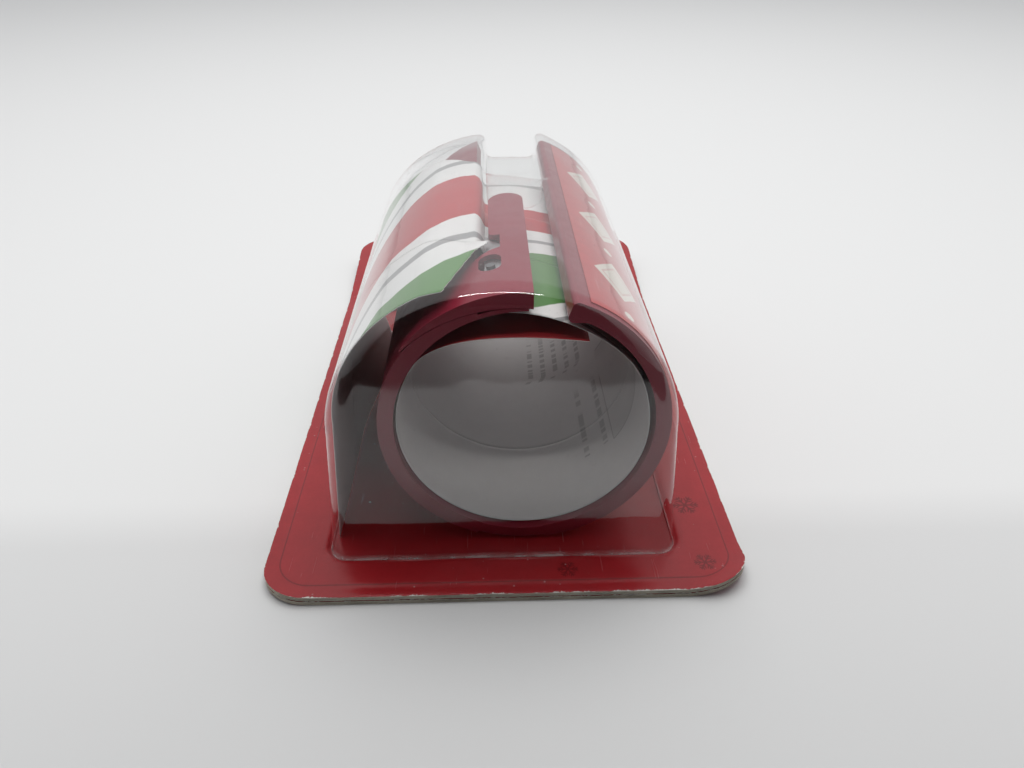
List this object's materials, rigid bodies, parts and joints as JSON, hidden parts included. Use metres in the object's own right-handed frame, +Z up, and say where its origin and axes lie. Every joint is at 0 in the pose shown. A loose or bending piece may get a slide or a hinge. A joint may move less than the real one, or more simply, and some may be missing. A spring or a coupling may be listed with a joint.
{
  "type": "gift wrap paper cutter",
  "caption": "Slotted tube cutter with a bladed finger that clips round a roll of wrapping paper, held with a rolled sample sheet in a clear bubble on a printed card.",
  "frame": {"origin": "middle of the card on the surface that it lies on", "axes": "+X across the card to the right seen from the cutting end, +Y along the tube from its cutting end towards the hanging tab, +Z up out of the card's front"},
  "size_m": [0.108, 0.1876, 0.068],
  "materials": {
    "card_back": "solid board, red print on white, grey-brown cut edge",
    "card_front": "solid board, glossy red print",
    "clear_film": "clear thermoformed film",
    "guide_plastic": "glossy dark maroon moulding",
    "spine_plastic": "glossy dark maroon moulding",
    "label_film": "printed self-adhesive label",
    "cutter_plastic": "glossy dark maroon moulding",
    "arm_plastic": "glossy dark maroon moulding",
    "blade_steel": "ground edge",
    "pin_steel": "plain",
    "printed_paper": "striped outside, white inside"
  },
  "bodies": {
    "package": {"back_board": "card_back", "front_board": "card_front", "clear_blister": "clear_film"},
    "tool": {"guide_shell": "guide_plastic", "hinge_spine": "spine_plastic", "guide_label": "label_film", "printed_insert": "printed_paper"},
    "cutter": {"cutter_shell": "cutter_plastic", "cutter_arm": "arm_plastic", "blade": "blade_steel", "blade_pins": "pin_steel"}
  },
  "joints": [
    {"name": "tool_slide", "type": "slide", "parent": "package", "child": "tool", "axis": [0, 1, 0], "range_m": [-0.0034, 0.0012]},
    {"name": "cutter_flex", "type": "hinge", "parent": "tool", "child": "cutter", "pos_m": [-0.00637, 0, 0.0033], "axis": [0, -1, 0], "range_deg": [0, 3], "stiffness_Nm_per_rad": 8, "springref_deg": -0.57, "deforming": ["printed_insert"]}
  ]
}
